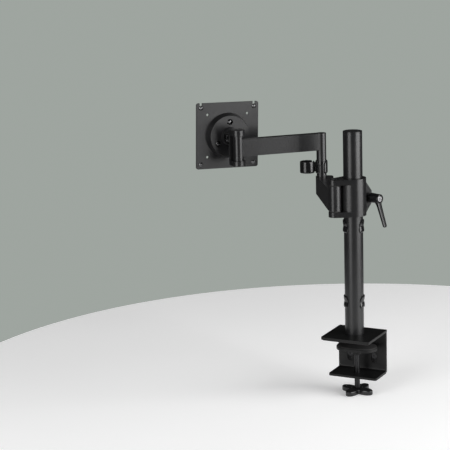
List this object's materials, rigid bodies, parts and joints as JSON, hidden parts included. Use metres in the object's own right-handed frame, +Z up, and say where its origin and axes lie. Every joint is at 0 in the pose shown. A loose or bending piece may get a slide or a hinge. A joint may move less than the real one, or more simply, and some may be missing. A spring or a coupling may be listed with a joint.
{
  "type": "monitor arm",
  "caption": "Desk-clamp monitor arm: round pole with a sliding collar and clamping lever, two folding arms and a tilting, turning square monitor plate.",
  "frame": {"origin": "on the pole's axis at the desk surface, the underside of the base plate's rubber sheet", "axes": "+Z up along the pole; +Y towards the desk's edge, where the clamp bracket goes down; +X along that edge"},
  "size_m": [0.3361, 0.1357, 0.5104],
  "materials": {
    "black_plate": "fine-textured black powder coat",
    "black_arm": "satin black powder coat",
    "gloss_plastic": "smooth black plastic",
    "rubber": "matt black rubber",
    "zinc_steel": "black-zinc and zinc-plated screws",
    "bright_steel": "bare steel"
  },
  "bodies": {
    "base": {"desk_sheet": "rubber", "base_plate": "black_plate", "clamp_bracket": "black_plate", "bracket_screws": "zinc_steel", "pole": "black_arm", "pole_plug": "bright_steel", "pole_bolt": "zinc_steel", "pole_cap": "gloss_plastic"},
    "clamp_pad": {"clamp_pad": "black_plate", "pad_rubber": "rubber"},
    "clamp_screw": {"clamp_screw": "zinc_steel", "clamp_knob": "gloss_plastic", "pad_clip": "bright_steel"},
    "low_clip": {"clip_low": "gloss_plastic"},
    "high_clip": {"clip_high": "gloss_plastic"},
    "liner": {"collar_liner": "gloss_plastic"},
    "collar": {"collar": "black_arm", "hinge_pin": "zinc_steel", "hinge_nut": "zinc_steel", "lever_nut": "zinc_steel"},
    "lever_stud": {"lever_stud": "zinc_steel", "lever_washer": "bright_steel", "lever_screw": "bright_steel", "lever_spring": "bright_steel"},
    "lever": {"lever_handle": "gloss_plastic"},
    "lower_arm": {"lower_arm": "black_arm", "hinge_bushes": "gloss_plastic", "elbow_screw": "zinc_steel", "elbow_washer": "bright_steel"},
    "elbow_clip": {"elbow_clip": "gloss_plastic"},
    "upper_arm": {"upper_arm": "black_arm", "elbow_bush": "gloss_plastic", "elbow_top_bush": "gloss_plastic", "elbow_cap": "gloss_plastic", "head_bushes": "gloss_plastic"},
    "head": {"head_fork": "black_arm", "head_pin": "zinc_steel", "head_nut": "zinc_steel"},
    "tilt": {"head_disc": "black_arm", "tilt_bolt": "zinc_steel", "tilt_nut": "zinc_steel", "tilt_washers": "bright_steel", "turn_washers": "bright_steel", "retainer_disc": "bright_steel", "disc_screws": "zinc_steel"},
    "monitor_plate": {"vesa_plate": "black_arm", "vesa_screws": "zinc_steel"}
  },
  "joints": [
    {"name": "clamp_travel", "type": "slide", "parent": "base", "child": "clamp_pad", "axis": [0, 0, 1], "range_m": [-0.034, 0.01]},
    {"name": "clamp_turn", "type": "hinge", "parent": "clamp_pad", "child": "clamp_screw", "pos_m": [0, 0.0095, -0.07], "axis": [0, 0, 1], "range_deg": [-8160, 2400]},
    {"name": "low_clip_turn", "type": "hinge", "parent": "base", "child": "low_clip", "pos_m": [0, 0, 0.0645], "axis": [0, 0, 1], "continuous": true},
    {"name": "high_clip_turn", "type": "hinge", "parent": "base", "child": "high_clip", "pos_m": [0, 0, 0.1985], "axis": [0, 0, 1], "continuous": true},
    {"name": "collar_height", "type": "slide", "parent": "base", "child": "liner", "axis": [0, 0, 1], "range_m": [-0.004, 0.08]},
    {"name": "collar_swivel", "type": "hinge", "parent": "liner", "child": "collar", "pos_m": [0, 0, 0.2495], "axis": [0, 0, 1], "continuous": true},
    {"name": "lever_turn", "type": "hinge", "parent": "collar", "child": "lever_stud", "pos_m": [0.00896, 0.02758, 0.2442], "axis": [0.9511, -0.309, 0], "range_deg": [-20, 180]},
    {"name": "lever_pull", "type": "slide", "parent": "lever_stud", "child": "lever", "axis": [0.9511, -0.309, 0], "range_m": [0, 0.004], "stiffness_N_per_m": 1500, "springref_m": -0.002, "deforming": ["lever_spring"]},
    {"name": "arm_swing", "type": "hinge", "parent": "collar", "child": "lower_arm", "pos_m": [-0.02309, -0.02564, 0.2495], "axis": [0, 0, 1], "range_deg": [-13, 198]},
    {"name": "elbow_clip_turn", "type": "hinge", "parent": "lower_arm", "child": "elbow_clip", "pos_m": [-0.0879, 0.06693, 0.2848], "axis": [0, 0, 1], "continuous": true},
    {"name": "elbow_swing", "type": "hinge", "parent": "lower_arm", "child": "upper_arm", "pos_m": [-0.0879, 0.06693, 0.3295], "axis": [0, 0, 1], "range_deg": [-200, 45]},
    {"name": "head_pan", "type": "hinge", "parent": "upper_arm", "child": "head", "pos_m": [-0.19796, -0.03936, 0.3295], "axis": [0, 0, -1], "range_deg": [-185, 14]},
    {"name": "head_tilt", "type": "hinge", "parent": "head", "child": "tilt", "pos_m": [-0.21556, -0.02379, 0.345], "axis": [-0.6626, -0.749, 0], "range_deg": [-15, 15]},
    {"name": "plate_turn", "type": "hinge", "parent": "tilt", "child": "monitor_plate", "pos_m": [-0.2363, -0.00543, 0.345], "axis": [-0.749, 0.6626, 0], "continuous": true}
  ],
  "couplings": [
    {"joint": "clamp_turn", "follows": "clamp_travel", "rad_per_m": 4188.8}
  ]
}
